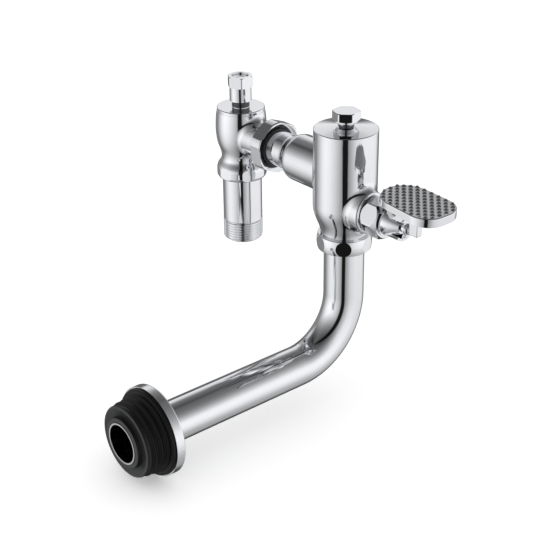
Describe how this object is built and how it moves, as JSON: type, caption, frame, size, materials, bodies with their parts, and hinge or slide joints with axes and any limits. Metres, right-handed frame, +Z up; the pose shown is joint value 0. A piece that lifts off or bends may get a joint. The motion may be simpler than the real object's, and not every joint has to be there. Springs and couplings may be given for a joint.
{
  "type": "foot pedal flush valve",
  "caption": "Foot pedal flush valve for a squat pan, with angle stop, union, bent flush pipe, cup flange and ribbed rubber spud.",
  "frame": {"origin": "centre of the supply tail's lower end, on the stop's axis", "axes": "+Z up along the stop and the valve, +X from the stop to the pedal, -Y along the level flush pipe towards the pan"},
  "size_m": [0.2528, 0.2412, 0.2364],
  "materials": {
    "chrome": "polished chrome plate",
    "brass": "machined brass",
    "rubber": "moulded black rubber",
    "steel": "stainless steel",
    "plastic": "dark nylon"
  },
  "bodies": {
    "valve": {"stop_body": "chrome", "inlet_tail": "chrome", "tail_gasket": "rubber", "stop_bonnet": "chrome", "stop_bonnet_seal": "rubber", "stop_spindle_seal": "rubber", "union_nut": "chrome", "union_packing": "rubber", "union_slip_ring": "plastic", "valve_body": "chrome", "body_cover": "chrome", "cover_seal": "rubber", "regulating_seal": "rubber", "seat_ring": "brass", "gland_washer": "rubber", "pedal_gland": "chrome", "rod_spring": "steel", "rod_seal": "rubber", "pedal_bracket": "chrome", "coupling_nut": "chrome", "coupling_ring": "plastic", "coupling_seal": "rubber", "flush_pipe": "chrome", "pan_spud": "rubber"},
    "stop_control": {"stop_spindle": "brass", "stop_cap": "chrome", "stop_cap_screw": "chrome"},
    "stop_plunger_set": {"stop_plunger": "brass", "stop_washer": "rubber", "stop_washer_screw": "brass"},
    "flush_regulator": {"regulating_cap": "chrome", "regulating_spindle": "brass"},
    "limiter": {"stroke_limiter": "brass"},
    "piston_set": {"piston": "brass", "main_seat_washer": "rubber", "washer_retainer": "brass", "piston_cup": "rubber", "cup_retainer": "brass", "refill_jet": "brass"},
    "relief": {"relief_valve": "brass", "relief_washer": "rubber"},
    "rod": {"push_rod": "chrome"},
    "pedal_set": {"pedal": "chrome", "pedal_pin": "steel", "pin_clips": "steel"},
    "flange": {"wall_flange": "chrome"}
  },
  "joints": [
    {"name": "pedal_tilt", "type": "hinge", "parent": "valve", "child": "pedal_set", "pos_m": [0.185, 0, 0.086], "axis": [0, 1, 0], "range_deg": [0, 15], "stiffness_Nm_per_rad": 1, "springref_deg": -17.19},
    {"name": "rod_slide", "type": "slide", "parent": "valve", "child": "rod", "axis": [-1, 0, 0], "range_m": [0, 0.0036]},
    {"name": "piston_rise", "type": "slide", "parent": "valve", "child": "piston_set", "axis": [0, 0, 1], "range_m": [0, 0.006]},
    {"name": "relief_tilt", "type": "hinge", "parent": "piston_set", "child": "relief", "pos_m": [0.1328, 0, 0.1136], "axis": [0, 1, 0], "range_deg": [0, 5.2]},
    {"name": "stop_turn", "type": "hinge", "parent": "valve", "child": "stop_control", "pos_m": [0, 0, 0.12], "axis": [0, 0, 1], "range_deg": [-541, 0]},
    {"name": "plunger_slide", "type": "slide", "parent": "valve", "child": "stop_plunger_set", "axis": [0, 0, 1], "range_m": [-0.003, 0]},
    {"name": "regulator_turn", "type": "hinge", "parent": "valve", "child": "flush_regulator", "pos_m": [0.1263, 0, 0.14], "axis": [0, 0, 1], "range_deg": [-721, 0]},
    {"name": "limiter_slide", "type": "slide", "parent": "valve", "child": "limiter", "axis": [0, 0, 1], "range_m": [-0.002, 0]},
    {"name": "flange_slide", "type": "slide", "parent": "valve", "child": "flange", "axis": [0, 1, 0], "range_m": [0, 0.12]}
  ],
  "couplings": [
    {"joint": "rod_slide", "follows": "pedal_tilt", "m_per_rad": 0.013369},
    {"joint": "relief_tilt", "follows": "pedal_tilt", "ratio": 0.33333},
    {"joint": "stop_turn", "follows": "plunger_slide", "rad_per_m": 3141.6},
    {"joint": "regulator_turn", "follows": "limiter_slide", "rad_per_m": 6283.2}
  ]
}
